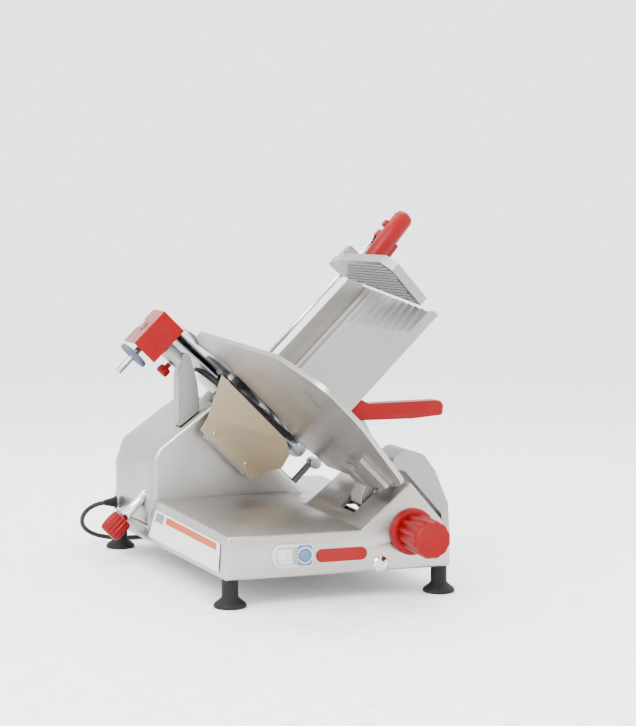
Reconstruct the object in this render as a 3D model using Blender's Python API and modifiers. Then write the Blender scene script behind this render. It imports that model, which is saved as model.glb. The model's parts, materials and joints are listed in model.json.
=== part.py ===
"""Gravity-feed deli meat slicer with a 300 mm knife, built from named sub-parts.

Lengths in the design are millimetres and are turned into metres by MM when a mesh is made.
Machine axes: +X is the operator's right, +Y points away from the operator, +Z is up.
The knife leans at 45 degrees. Pieces that follow it are placed in the slope frame, whose
coordinates are (t, y, s): t runs down the knife plane to the right, s is normal to the knife
and points up to the right, towards the product.
"""
import math

import bmesh
import bpy
from mathutils import Matrix, Vector

MM = 0.001
GAP = 0.3                      # clearance kept between touching pieces
LEAN = 45.0                    # knife plane angle, degrees

# Overall frame
ORIGIN = (-129.0, -195.5)      # moves the front left foot so that the box centre is at the origin
BASE_FRONT, BASE_BACK = -19.4, 534.0
BASE_RIGHT = 336.0
BASE_BOTTOM, DECK = 41.0, 104.0
RAMP_FOOT, RIDGE_X, RIDGE_Z = 195.0, 272.0, 170.0
GABLE_BACK = 228.0
WALL = 6.0                     # casting wall
COLUMN_FRONT, COLUMN_BACK = 357.3, 530.0
COLUMN_SEAT = 62.3
FEET = {"front_left": (0.0, 0.0), "front_right": (325.7, 0.0),
        "back_left": (-36.8, 519.0), "back_right": (324.0, 519.0)}

# Knife and its drive, slope frame
KNIFE_T, KNIFE_Y, KNIFE_S = -111.0, 409.0, 291.0
KNIFE_R = 150.0
MOTOR_T, MOTOR_Y = -5.0, 445.0
PULLEY_LOW, PULLEY_HIGH = 262.0, 272.0

# Gauge plate
GAUGE_LOW, GAUGE_HIGH = 284.5, 291.5
GUIDE_T, GUIDE_Y = 85.0, 85.0
INDEX_X, INDEX_Z = 273.0, 97.5

# Carriage
CARRIAGE_ROD_X, CARRIAGE_ROD_Z = 300.0, 73.0
CHUTE_LOW, CHUTE_HIGH = 300.0, 540.0
CHUTE_FLOOR = -97.0            # underside of the product table
CHUTE_SHEET = 3.0
CHUTE_NEAR, CHUTE_FAR = -94.0, 262.0
PUSHER_ROD_T, PUSHER_ROD_Y = -134.0, 285.0
PUSHER_S = 504.0
GRIP_T, GRIP_Y, GRIP_R = -167.0, 100.0, 15.0
GRIP_LEAN = -5.5               # the grip stands a little steeper than the rod, degrees

# Sharpener, slope frame
POST_Y, POST_S = 385.0, 252.0
STONE_T = -269.5

# Tie rod, slope frame
TIE_T, TIE_Y = -92.0, 400.0

# Mains lead
CORD_D = 7.5
COIL_CENTRE = (110.0, 632.0)
COIL_R = 41.0                  # middle of the turns
# Two cubic curves end to end, each with its end points and two handles
LEAD_PATH = [(-64.0, 505.0, 80.0), (-114.0, 505.0, 80.0), (-126.0, 572.0, 4.3), (0.0, 583.0, 4.2),
             (27.0, 585.3, 4.15), (54.0, 587.25, 4.1), (81.0, 587.25, 4.1)]


# ---------------------------------------------------------------- scene and helpers

def clear_scene():
    for obj in list(bpy.data.objects):
        bpy.data.objects.remove(obj, do_unlink=True)


def new_collection(name):
    group = bpy.data.collections.new(name)
    bpy.context.scene.collection.children.link(group)
    return group


def new_empty(name, parent=None, location=(0, 0, 0), rotation=(0, 0, 0)):
    empty = bpy.data.objects.new(name, None)
    PARTS.objects.link(empty)
    empty.parent = parent
    empty.location = Vector(location) * MM
    empty.rotation_euler = [math.radians(a) for a in rotation]
    return empty


def material(name, colour, roughness, metallic=0.0):
    mat = bpy.data.materials.new(name)
    mat.use_nodes = True
    shader = mat.node_tree.nodes["Principled BSDF"]
    shader.inputs["Base Color"].default_value = (*colour, 1.0)
    shader.inputs["Roughness"].default_value = roughness
    shader.inputs["Metallic"].default_value = metallic
    mat.diffuse_color = (*colour, 1.0)
    return mat


def place(name, mesh, mat, parent, location=(0, 0, 0), rotation=(0, 0, 0), group=None):
    obj = bpy.data.objects.new(name, mesh)
    (group or PARTS).objects.link(obj)
    obj.parent = parent
    obj.location = Vector(location) * MM
    obj.rotation_euler = [math.radians(a) for a in rotation]
    if mat:
        mesh.materials.append(mat)
    return obj


def mesh_from(name, bm):
    mesh = bpy.data.meshes.new(name)
    bmesh.ops.recalc_face_normals(bm, faces=bm.faces[:])
    bm.to_mesh(mesh)
    bm.free()
    return mesh


def block_mesh(low, high, bevel=0.0):
    """A box between two corners, with its edges rounded."""
    bm = bmesh.new()
    bmesh.ops.create_cube(bm, size=1.0)
    size = [(b - a) * MM for a, b in zip(low, high)]
    middle = [(a + b) / 2 * MM for a, b in zip(low, high)]
    bmesh.ops.transform(bm, matrix=Matrix.Translation(middle) @ Matrix.Diagonal((*size, 1.0)),
                        verts=bm.verts[:])
    if bevel:
        bmesh.ops.bevel(bm, geom=bm.edges[:], offset=bevel * MM, segments=2, profile=0.5, affect="EDGES")
    return mesh_from("block", bm)


def drum_mesh(radius, low, high, sides=32, bevel=0.0):
    """A cylinder on the local Z axis."""
    bm = bmesh.new()
    bmesh.ops.create_cone(bm, cap_ends=True, segments=sides, radius1=radius * MM, radius2=radius * MM,
                          depth=(high - low) * MM,
                          matrix=Matrix.Translation((0, 0, (low + high) / 2 * MM)))
    if bevel:
        rims = [e for e in bm.edges if any(len(f.verts) > 4 for f in e.link_faces)]
        bmesh.ops.bevel(bm, geom=rims, offset=bevel * MM, segments=2, profile=0.5, affect="EDGES")
    mesh = mesh_from("drum", bm)
    smooth(mesh)
    return mesh


def smooth(mesh):
    mesh.shade_smooth()
    mesh.set_sharp_from_angle(angle=math.radians(35))


def curve_to_mesh(curve):
    """The mesh of a filled curve, with its caps welded on."""
    holder = bpy.data.objects.new("outline", curve)
    PARTS.objects.link(holder)
    graph = bpy.context.evaluated_depsgraph_get()
    mesh = bpy.data.meshes.new_from_object(holder.evaluated_get(graph))
    bm = bmesh.new()
    bm.from_mesh(mesh)
    bmesh.ops.remove_doubles(bm, verts=bm.verts[:], dist=1e-6)
    bpy.data.objects.remove(holder, do_unlink=True)
    return mesh_from("prism", bm)


def prism_mesh(outline, low, high):
    """A flat outline in the local XY plane, from z = low to z = high."""
    curve = bpy.data.curves.new("outline", "CURVE")
    curve.dimensions = "2D"
    curve.fill_mode = "BOTH"
    curve.extrude = (high - low) / 2 * MM
    spline = curve.splines.new("POLY")
    spline.points.add(len(outline) - 1)
    for point, (x, y) in zip(spline.points, outline):
        point.co = (x * MM, y * MM, 0.0, 1.0)
    spline.use_cyclic_u = True
    mesh = curve_to_mesh(curve)
    mesh.transform(Matrix.Translation((0, 0, (low + high) / 2 * MM)))
    return mesh


def standing_prism_mesh(outline, near, far):
    """An outline drawn in the X-Z (or t-s) plane, from y = near to y = far."""
    mesh = prism_mesh(outline, -far, -near)
    mesh.transform(Matrix.Rotation(math.radians(90), 4, "X"))
    return mesh


def loft_mesh(sections):
    """A closed skin through sections that have the same number of corners."""
    bm = bmesh.new()
    rows = [[bm.verts.new(Vector(p) * MM) for p in section] for section in sections]
    count = len(rows[0])
    for here, there in zip(rows, rows[1:]):
        for i in range(count):
            j = (i + 1) % count
            bm.faces.new((here[i], here[j], there[j], there[i]))
    bm.faces.new(rows[0])
    bm.faces.new(rows[-1][::-1])
    return mesh_from("loft", bm)


def turned(name, profile, mat, parent, location=(0, 0, 0), rotation=(0, 0, 0), steps=32, ring=False,
           group=None):
    """A profile of (radius, height) points turned about the local Z axis."""
    bm = bmesh.new()
    verts = [bm.verts.new((r * MM, 0.0, z * MM)) for r, z in profile]
    for a, b in zip(verts, verts[1:]):
        bm.edges.new((a, b))
    if ring:
        bm.edges.new((verts[-1], verts[0]))
    mesh = bpy.data.meshes.new(name)
    bm.to_mesh(mesh)
    bm.free()
    obj = place(name, mesh, mat, parent, location, rotation, group)
    screw = obj.modifiers.new("Turn", "SCREW")
    screw.steps = screw.render_steps = steps
    screw.use_merge_vertices = True
    screw.merge_threshold = 0.00001
    screw.use_normal_calculate = False
    return obj


def rounded(corners, segments=4):
    """Points of an outline whose corners (x, y, radius) are replaced by arcs."""
    points = []
    count = len(corners)
    for i, (x, y, radius) in enumerate(corners):
        here = Vector((x, y))
        back = (Vector(corners[i - 1][:2]) - here).normalized()
        ahead = (Vector(corners[(i + 1) % count][:2]) - here).normalized()
        if radius <= 0:
            points.append((x, y))
            continue
        half = back.angle(ahead) / 2
        reach = radius / math.tan(half)
        start, end = here + back * reach, here + ahead * reach
        centre = here + (back + ahead).normalized() * (radius / math.sin(half))
        a, b = start - centre, end - centre
        turn = a.angle_signed(b)
        for k in range(segments + 1):
            angle = -turn * k / segments
            ca, sa = math.cos(angle), math.sin(angle)
            points.append((centre.x + a.x * ca - a.y * sa, centre.y + a.x * sa + a.y * ca))
    return points


def arc_points(centre, radius, start, end, count):
    """Points on an arc. Angles in degrees, measured from -Y towards +X."""
    result = []
    for k in range(count + 1):
        angle = math.radians(start + (end - start) * k / count)
        result.append((centre[0] + radius * math.sin(angle), centre[1] - radius * math.cos(angle)))
    return result


def boolean(target, tool, operation):
    tool.hide_render = True
    tool.display_type = "WIRE"
    mod = target.modifiers.new(operation.title(), "BOOLEAN")
    mod.operation = operation
    mod.solver = "EXACT"
    mod.object = tool


def cut(target, mesh, parent, location=(0, 0, 0), rotation=(0, 0, 0)):
    tool = place(target.name + "_cutter", mesh, None, parent, location, rotation, CUTTERS)
    boolean(target, tool, "DIFFERENCE")


def add(target, mesh, parent, location=(0, 0, 0), rotation=(0, 0, 0)):
    tool = place(target.name + "_joined", mesh, None, parent, location, rotation, CUTTERS)
    boolean(target, tool, "UNION")


def round_edges(obj, width, segments=2, angle=30.0):
    bevel = obj.modifiers.new("Edges", "BEVEL")
    bevel.width = width * MM
    bevel.segments = segments
    bevel.limit_method = "ANGLE"
    bevel.angle_limit = math.radians(angle)


def mix(a, b, share):
    return a + (b - a) * share


# ---------------------------------------------------------------- base

def left_side(y, z):
    """X of the base's left side, which leans in and widens towards the back."""
    run = (y - BASE_FRONT) / (COLUMN_FRONT - BASE_FRONT)
    bottom = -12.5 - 26.5 * run
    top = -9.5 - 9.0 * run
    return mix(bottom, top, (z - BASE_BOTTOM) / (DECK - BASE_BOTTOM))


def base_section(y, ridge, inset=0.0, bottom=BASE_BOTTOM):
    deck = DECK - inset
    return [(left_side(y, bottom) + inset, y, bottom),
            (left_side(y, deck) + inset, y, deck),
            (RAMP_FOOT + 0.4 * inset, y, deck),
            (RIDGE_X, y, deck + 0.1 + (RIDGE_Z - DECK - 0.5 * inset) * ridge),
            (330.0 - 0.6 * inset, y, deck - 1.0 * ridge),
            (BASE_RIGHT - inset, y, deck - 6.0),
            (BASE_RIGHT - inset, y, bottom)]


def base_loft(inset, bottom):
    front, back = BASE_FRONT + inset, BASE_BACK - inset
    ys = [front, 60.0, 140.0, GABLE_BACK - inset, GABLE_BACK + 20.0 - inset, 320.0, 400.0, 470.0, back]
    return loft_mesh([base_section(y, 1.0 if y <= GABLE_BACK else 0.0, inset, bottom) for y in ys])


def build_base():
    base = place("base_casting", base_loft(0.0, BASE_BOTTOM), ALUMINIUM, FRAME)
    round_edges(base, 4.5, 2, 22.0)
    cut(base, base_loft(WALL, BASE_BOTTOM - 20.0), FRAME)
    cut(base, block_mesh((-90, COLUMN_FRONT - GAP, COLUMN_SEAT - GAP), (240.3, BASE_BACK + 20, 190)), FRAME)
    # seat under the column, tied to the walls
    seat = block_mesh((left_side(COLUMN_BACK, 50) + 14.0, COLUMN_FRONT - 12.0, 55.0),
                      (244.0, BASE_BACK - 3.0, 62.0))
    add(base, seat, FRAME)
    cut(base, block_mesh((BASE_RIGHT - 12, 14, 60), (BASE_RIGHT + 10, 420, 88)), FRAME)   # carriage slot
    slot = [(64 - 4, 232), (112, 232), (112, 296), (64 - 4, 296)]
    cut(base, standing_prism_mesh(slot, GUIDE_Y - 31, GUIDE_Y + 31), SLOPE)    # gauge bracket slot
    cut(base, drum_mesh(6.4, -40, 0, 24), FRAME, (INDEX_X, BASE_FRONT - 10, INDEX_Z), (90, 0, 0))

    ends = (BASE_FRONT + WALL + 0.6, BASE_BACK - WALL - 0.6)
    outline = [(left_side(y, BASE_BOTTOM) + WALL + 2.2, y) for y in ends]
    right = BASE_RIGHT - WALL - 0.6
    outline += [(right, BASE_BACK - WALL - 0.6), (right, BASE_FRONT + WALL + 0.6)]
    place("bottom_cover", prism_mesh(outline, BASE_BOTTOM + 0.6, BASE_BOTTOM + 2.6), STEEL, FRAME)

    foot = [(0, BASE_BOTTOM - GAP), (12, BASE_BOTTOM - GAP), (12, 15), (15.5, 11.5), (22.5, 6.5),
            (24.2, 3.5),
            (23.5, 0.8), (22, 0), (0, 0)]
    for corner, (x, y) in FEET.items():
        turned("foot_" + corner, foot, RUBBER, FRAME, (x, y, 0), steps=28)


def build_front_panel():
    """Switch, badge and plug screw on the front face, and the plate on the left side."""
    face = BASE_FRONT - GAP
    body = rounded([(56, 57, 15), (117, 57, 5), (117, 90, 5), (56, 90, 15)], 5)
    switch = place("switch_housing", standing_prism_mesh(body, face - 7.5, face), WHITE_PLASTIC, FRAME)
    start = rounded([(63, 62, 5), (85, 62, 3), (85, 85, 3), (63, 85, 5)], 3)
    room = rounded([(62.5, 61.5, 5), (85.5, 61.5, 3), (85.5, 85.5, 3), (62.5, 85.5, 5)], 3)
    cut(switch, standing_prism_mesh(room, face - 12, face + 4), FRAME)
    cut(switch, drum_mesh(9.5, -4, 12, 24), FRAME, (104.5, face, 73.5), (90, 0, 0))
    place("start_button", standing_prism_mesh(start, face - 11, face - 2.8), WHITE_PLASTIC, FRAME)
    place("stop_button", drum_mesh(9.0, 2.8, 11.5, 24, 1.2), BLUE_PLASTIC, FRAME, (104.5, face, 73.5),
          (90, 0, 0))
    add(switch, block_mesh((87.4, face - 8.6, 60), (93.4, face - 6.0, 87)), FRAME)        # ribbed strip

    badge = rounded([(124, 60, 9), (203, 60, 9), (203, 79, 9), (124, 79, 9)], 5)
    place("front_badge", standing_prism_mesh(badge, face - 1.5, face), RED_ENAMEL, FRAME)
    screw = turned("level_screw", [(0, 5), (5, 4.6), (9.5, 3), (12.2, 0.8), (12.2, 0), (0, 0)], CHROME,
                   FRAME,
                   (225, face, 51.5), (90, 0, 0), steps=28)
    cut(screw, block_mesh((-14, -1.2, 2.6), (14, 1.2, 8)), FRAME, (225, face, 51.5), (90, 45, 0))

    sections = []
    for y in (8.0, 90.0, 170.0, 250.0, 330.0):
        low, high = left_side(y, 50.0), left_side(y, 92.0)
        sections.append([(low - 0.8, y, 50.0), (high - 0.8, y, 92.0), (high - 1.6, y, 92.0),
                         (low - 1.6, y, 50.0)])
    place("side_plate", loft_mesh(sections), WHITE_PLASTIC, FRAME)


# ---------------------------------------------------------------- column, motor and knife

def column_section(y, inset=0.0):
    run = (y - COLUMN_FRONT) / (COLUMN_BACK - COLUMN_FRONT)
    front = [(-31, COLUMN_SEAT), (-19.5, 104), (-19.5, 172), (-9, 188), (85, 259), (240, 104),
             (240, COLUMN_SEAT)]
    back = [(-47, COLUMN_SEAT), (-43, 104), (-43, 148), (-30, 187), (79, 264.6), (240, 104),
            (240, COLUMN_SEAT)]
    shift = [(1, 0), (1, 0), (1, -0.3), (0.8, -0.7), (0, -1.3), (-1.1, 0), (-1.1, 0)]
    lower = -12.0 if inset else 0.0
    points = []
    for k, ((x0, z0), (x1, z1), (dx, dz)) in enumerate(zip(front, back, shift)):
        x, z = mix(x0, x1, run) + dx * inset, mix(z0, z1, run) + dz * inset
        points.append((x, y, z + (lower if k in (0, 6) else 0.0)))
    return points


def build_column():
    ys = [COLUMN_FRONT, 390.0, 425.0, 460.0, 495.0, COLUMN_BACK]
    column = place("motor_housing", loft_mesh([column_section(y) for y in ys]), ALUMINIUM, FRAME)
    round_edges(column, 7.0, 3, 25.0)
    add(column, drum_mesh(20, 205, 256, 32, 2.0), SLOPE, (KNIFE_T, KNIFE_Y, 0))
    inner = [COLUMN_FRONT + WALL, 390.0, 425.0, 460.0, 495.0, COLUMN_BACK + 8.0]
    cut(column, loft_mesh([column_section(y, WALL) for y in inner]), FRAME)
    cut(column, drum_mesh(9, 225, 262, 24), SLOPE, (MOTOR_T, MOTOR_Y, 0))                 # motor shaft
    cut(column, drum_mesh(8.6, 20, 80, 24), SLOPE, (TIE_T, TIE_Y, 0))                     # tie rod
    cover = [(-44, COLUMN_SEAT + 0.8), (-40, 104), (-40, 148), (-27, 185), (79, 260), (235, 103),
             (235, COLUMN_SEAT + 0.8)]
    place("rear_cover", standing_prism_mesh(cover, COLUMN_BACK + GAP, COLUMN_BACK + 3.0), STEEL, FRAME)
    place("drive_motor", drum_mesh(42, 130, 224, 32, 4.0), DARK_STEEL, SLOPE, (MOTOR_T, MOTOR_Y, 0))
    turned("motor_pulley", [(0, 274), (7, 274), (7, PULLEY_HIGH), (19, PULLEY_HIGH), (17, 270), (17, 264),
                            (19, PULLEY_LOW), (7, PULLEY_LOW), (7, 224.3), (0, 224.3)], STEEL, MOTOR_AXIS,
                            steps=28)


def belt_outline(radius_big, radius_small):
    """The loop round the knife pulley and the motor pulley."""
    gap = Vector((MOTOR_T - KNIFE_T, MOTOR_Y - KNIFE_Y))
    heading = math.degrees(math.atan2(gap.x, -gap.y))
    lean = math.degrees(math.acos((radius_big - radius_small) / gap.length))
    big = arc_points((KNIFE_T, KNIFE_Y), radius_big, heading + lean, heading + 360 - lean, 20)
    small = arc_points((MOTOR_T, MOTOR_Y), radius_small, heading - lean, heading + lean, 8)
    return big + small


def build_knife():
    blade = [(0, 289.6), (58, 289.6), (118, 289.0), (146, KNIFE_S), (KNIFE_R, KNIFE_S), (138, 286.8),
             (112, 285.4), (60, 284.4), (24, 284.4), (24, 273), (10.4, 273), (10.4, 285.5), (0, 285.5)]
    turned("knife", blade, KNIFE_STEEL, KNIFE_AXIS, steps=72)
    turned("knife_cover", [(0, 293.4), (30, 293.2), (52, 292.2), (56, 290.0), (0, 290.0)], STEEL,
           KNIFE_AXIS, steps=40)
    turned("knife_pulley", [(10.4, PULLEY_HIGH), (60, PULLEY_HIGH), (58, 270), (58, 264), (60, PULLEY_LOW),
                            (10.4, PULLEY_LOW)], STEEL, KNIFE_AXIS, steps=48, ring=True)
    place("spindle", drum_mesh(10, 256.3, 285, 28), DARK_STEEL, SLOPE, (KNIFE_T, KNIFE_Y, 0))
    belt = place("drive_belt", prism_mesh(belt_outline(61.2, 20.2), 264.5, 269.5), RUBBER, SLOPE)
    cut(belt, prism_mesh(belt_outline(58.4, 17.4), 260, 275), SLOPE)

    rim = [(34, 279.5), (153.5, 279.5), (153.5, 295), (156, 296.5), (165, 296.5), (168, 293.5),
           (168, 280), (165, 277), (34, 277)]
    guard = turned("knife_guard", rim, ALUMINIUM, SLOPE, (KNIFE_T, KNIFE_Y, 0), steps=72, ring=True)
    centre = (0.0, 0.0)
    wedge = [(0.0, -28.0)] + arc_points(centre, 260, 62, -102, 12)
    cut(guard, prism_mesh(wedge, 260, 310), SLOPE, (KNIFE_T, KNIFE_Y, 0))
    for t, y in ((-62.0, 508.0), (36.0, 470.0), (24.0, 372.0)):    # feet on the column
        add(guard, drum_mesh(7, 243.4, 278.5, 20), SLOPE, (t, y, 0))


def build_deflector():
    """Bent sheet behind the knife edge that throws the slices on to the tray."""
    bm = bmesh.new()
    corners = [(-163, 300, 274), (-10, 300, 274), (14, 306, 262), (23, 315, 238), (11, 324, 217),
               (-125, 324, 213), (-119, 324.4, 189), (2, 324.4, 190)]
    verts = [bm.verts.new(Vector(c) * MM) for c in corners]
    bm.faces.new([verts[i] for i in (0, 1, 2, 3, 4, 5)])
    bm.faces.new([verts[i] for i in (5, 4, 7, 6)])
    mesh = bpy.data.meshes.new("deflector")
    bm.to_mesh(mesh)
    bm.free()
    deflector = place("deflector", mesh, BEIGE, SLOPE)
    shell = deflector.modifiers.new("Sheet", "SOLIDIFY")
    shell.thickness = 2.0 * MM
    shell.offset = 0.0
    for number, t in enumerate((-96.0, -22.0), 1):
        head = [(0, 2.4), (3.6, 2.0), (5, 0.4), (5, 0), (0, 0)]
        turned("deflector_screw_%d" % number, head, STEEL, SLOPE, (t, 323.0, 202), (90, 0, 0), steps=20)
    bracket = [(-100, 187), (-14, 187), (-14, 236), (-100, 236)]
    place("deflector_bracket", standing_prism_mesh(bracket, 327.0, COLUMN_FRONT - 1.0), ALUMINIUM, SLOPE)
    arm = place("guard_arm", drum_mesh(5.5, 243.5, 290, 20), ALUMINIUM, SLOPE, (72, 368, 0))
    add(arm, drum_mesh(9.5, -14, 12, 24, 1.0), SLOPE, (72, 355, 287), (90, 0, 0))


# ---------------------------------------------------------------- gauge plate and index knob

def build_gauge():
    arc = arc_points((KNIFE_T, KNIFE_Y), 153.0, 50, -47, 24)
    outline = arc + [(-238, 291)] + rounded([(-249, 262, 12), (-231, -92, 60), (-178, -186, 45),
                                             (-104, -186, 70),
                                             (30, -112, 60), (61, 20, 60), (61.5, 268, 8), (38, 270, 6)], 5)
    place("gauge_plate", prism_mesh(outline, GAUGE_LOW, GAUGE_HIGH), ALUMINIUM, SLOPE)
    arm = [(20, 275), (56, 275), (62, 258), (70, 250), (100, 250), (100, 274), (72, 276), (66, 284.2),
           (20, 284.2)]
    bracket = place("gauge_bracket", standing_prism_mesh(arm, GUIDE_Y - 22, GUIDE_Y + 22), ALUMINIUM, SLOPE)
    web = [(-16, -36), (44, -36), (58, 40), (58, 70), (30, 70)]
    add(bracket, prism_mesh(web, 277, 284.2), SLOPE)
    cut(bracket, drum_mesh(6.4, 230, 300, 20), SLOPE, (GUIDE_T, GUIDE_Y, 0))
    place("gauge_guide_rod", drum_mesh(6, 154, 299, 20), STEEL, SLOPE, (GUIDE_T, GUIDE_Y, 0))

    face = BASE_FRONT - GAP
    turned("index_dial", [(5.4, 11), (30, 11), (34.8, 8), (34.8, 0), (5.4, 0)], RED_PLASTIC, INDEX_AXIS,
           (0, face, 0), (90, 0, 0), steps=44, ring=True)
    turned("index_knob", [(0, 84), (24, 84), (28.5, 80), (29, 20), (30, 11.3), (5.4, 11.3), (5.4, 60),
                          (0, 60)],
           RED_PLASTIC, INDEX_AXIS, (0, face, 0), (90, 0, 0), steps=40)
    turned("index_shaft", [(0, 59), (5, 59), (5, -14), (9, -14), (9, -22), (5, -22), (5, -118), (0, -118)],
           DARK_STEEL, INDEX_AXIS, (0, face, 0), (90, 0, 0), steps=24)


# ---------------------------------------------------------------- carriage, product table and pusher

def build_carriage():
    place("carriage_rod", drum_mesh(10, -13.0, 527.6, 24), CHROME, FRAME,
          (CARRIAGE_ROD_X, 0, CARRIAGE_ROD_Z), (-90, 0, 0))
    slide = place("slide_block", block_mesh((283, 16, 56), (317.2, 104, 88), 3.0), STEEL, FRAME)
    cut(slide, drum_mesh(10.4, 0, 120, 24), FRAME, (CARRIAGE_ROD_X, 0, CARRIAGE_ROD_Z), (-90, 0, 0))

    under = CHUTE_FLOOR + 0.5
    outer = [(under, 302), (under, 396), (-70, 352), (-30, 336), (30, 318), (48, 320)]
    outer = [((s + t) * 0.70711, (s - t) * 0.70711) for t, s in outer]
    over = [(262, 200, 10), (282, 214, 14), (312, 204, 14), (331, 178, 10), (352, 128, 10), (356, 64, 4),
            (317.6, 64, 0), (317.6, 82, 0), (342, 82, 4), (341, 112, 8), (281, 180, 8), (262, 184, 8)]
    outline = outer[:-1] + rounded(over, 4) + [(256, 171.5)]
    place("carriage_arm", standing_prism_mesh(outline, 26, 94), ALUMINIUM, FRAME)

    near, far, floor = CHUTE_NEAR, CHUTE_FAR, CHUTE_FLOOR
    top = floor - CHUTE_SHEET
    ribs = []
    pitch = (far - near - 24.0) / 11
    for k in range(11):
        y = far - 14.0 - k * pitch
        ribs += [(top, y - 6), (top - 2.3, y - 9), (top - 2.3, y - 15), (top, y - 18)]
    outline = [(-190, near), (floor, near), (floor, far), (-128, far), (-128, far - 4), (top, far - 4)]
    outline += ribs + [(top, near + 5), (-190, near + 5)]
    chute = place("product_chute", prism_mesh(outline, CHUTE_LOW, CHUTE_HIGH), ALUMINIUM, SLOPE)
    scallop = rounded([(-215, 377, 0), (-190, 380, 3), (-187, 395, 7), (-172, 408, 8), (-143, 425, 0),
                       (-111, 448, 14),
                       (-110.5, 496, 8), (-92, 496, 0), (-92, 580, 0), (-215, 580, 0)], 4)
    cut(chute, standing_prism_mesh(scallop, near - 10, near + 9), SLOPE)
    end = [(near + 6, 494.5), (far + 20, 535.5), (far + 20, 580), (near + 6, 580)]   # runs askew
    cut(chute, loft_mesh([[(t, y, s) for y, s in end] for t in (-220, -80)]), SLOPE)

    grip = rounded([(144, 280.5, 1), (166, 302.5, 3), (177, 296, 6), (286, 297.6, 6), (291, 291, 4),
                    (289.5, 276.5, 4),
                    (245, 272.8, 20), (152, 273, 4)], 4)
    handle = place("carriage_handle", standing_prism_mesh(grip, -93, -69), RED_PLASTIC, FRAME)
    round_edges(handle, 2.5, 2, 50.0)


def build_pusher():
    axis = (PUSHER_ROD_T, PUSHER_ROD_Y, 0)
    place("pusher_rod", drum_mesh(4, 304, 614, 20), CHROME, SLOPE, axis)
    bracket = place("rod_bracket", block_mesh((-147, CHUTE_FAR + GAP, 304), (-121, 295, 322), 3.0),
                    ALUMINIUM, SLOPE)
    cut(bracket, drum_mesh(4.3, 290, 340, 20), SLOPE, axis)
    turned("rod_end_cap", [(0, 625), (4, 624.6), (6.4, 622), (6.4, 610), (4.3, 610), (4.3, 614.4),
                           (0, 614.4)],
           RED_PLASTIC, SLOPE, axis, steps=24)
    turned("slider_bushing", [(4.3, 554.6), (8.8, 554.6), (8.8, 552.4), (6.6, 552.4), (6.6, 526),
                              (4.3, 526)],
           STEEL, SLOPE, axis, steps=24, ring=True)

    low, high = PUSHER_S, PUSHER_S + 14.0
    outline = rounded([(-194, 138, 6), (-194, -27, 8), (-177, -45, 6), (-103, -30, 4), (-157, 205, 8),
                       (-184, 214, 8)], 4)
    plate = place("pusher_plate", prism_mesh(outline, low, high), ALUMINIUM, PUSHER_AXIS,
                  (-axis[0], -axis[1], 0))
    add(plate, block_mesh((-183, 186, high - 6), (-159, 204, high + 26)), PUSHER_AXIS,
        (-axis[0], -axis[1], 0))
    bridge = [(-184, 184), (-160, 180), (-132, 262), (-129, 285), (-142, 285), (-152, 268)]
    add(plate, prism_mesh(bridge, high + 12, high + 26), PUSHER_AXIS, (-axis[0], -axis[1], 0))
    add(plate, drum_mesh(10.5, high + 10, high + 34, 28), PUSHER_AXIS)
    cut(plate, drum_mesh(6.9, high, high + 60, 24), PUSHER_AXIS)
    seat = (GRIP_T - axis[0], GRIP_Y - axis[1], high)
    lean = (0, GRIP_LEAN, 0)
    grip = place("pusher_grip", drum_mesh(GRIP_R, 1.9, 102, 28, 10.0), RED_PLASTIC, PUSHER_AXIS, seat, lean)
    add(grip, block_mesh((4, -8, 2.2), (19.5, 8, 55), 3.0), PUSHER_AXIS, seat,
        lean)      # fin beside the plate
    add(grip, block_mesh((-18, 4, 66), (-6, 17, 78), 3.0), PUSHER_AXIS, seat, lean)


# ---------------------------------------------------------------- sharpener and tie rod

def build_sharpener():
    foot = rounded([(26, 218.5, 2), (62, 245.3, 2), (58, 290, 10), (46, 336, 6), (34, 341, 6),
                    (26, 300, 14)], 3)
    arm = place("sharpener_arm", standing_prism_mesh(foot, 370, 400), ALUMINIUM, FRAME)
    add(arm, drum_mesh(13, -238, -192, 24, 1.0), SLOPE, (0, POST_Y, POST_S), (0, 90, 0))
    cut(arm, drum_mesh(7.4, -260, -197, 20), SLOPE, (0, POST_Y, POST_S), (0, 90, 0))
    place("sharpener_post", drum_mesh(7, -286, -200, 20), CHROME, SLOPE, (0, POST_Y, POST_S), (0, 90, 0))
    turned("sharpener_clamp_knob", [(0, 238.4), (4, 238.4), (4, 232), (10.5, 230), (11, 219), (9, 216),
                                    (0, 216)],
           RED_PLASTIC, SLOPE, (-216, POST_Y, 0), steps=24)

    sheet = [(-290, 350), (-244, 350), (-244, 352), (-288, 352), (-288, 420), (-290, 420)]
    place("sharpener_cover", prism_mesh(sheet, 217, 288), RED_ENAMEL, SLOPE)
    body = place("sharpener_body", block_mesh((-287.7, 366, 226), (-256, 404, 276), 3.0), ALUMINIUM, SLOPE)
    cut(body, drum_mesh(7.4, -295, -240, 20), SLOPE, (0, POST_Y, POST_S), (0, 90, 0))
    cut(body, drum_mesh(6.2, 215, 236, 20), SLOPE, (STONE_T, POST_Y, 0))
    place("sharpener_nut", drum_mesh(9.5, -297, -290.3, 6), CHROME, SLOPE, (0, POST_Y, POST_S), (0, 90, 0))
    turned("honing_stone", [(0, 282.5), (11, 282.5), (12, 281.5), (12, 276.3), (0, 276.3)], STONE, SLOPE,
           (STONE_T, POST_Y, 0), steps=28)
    place("stone_plunger", drum_mesh(5.5, 170, 230, 20, 1.0), STEEL, SLOPE, (STONE_T, POST_Y, 0))
    turned("grinding_stone", [(5.8, 210.5), (23, 210.5), (25, 208.5), (25, 204), (23.5, 203), (5.8, 203)],
           STONE,
           SLOPE, (STONE_T, POST_Y, 0), steps=36, ring=True)


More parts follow.
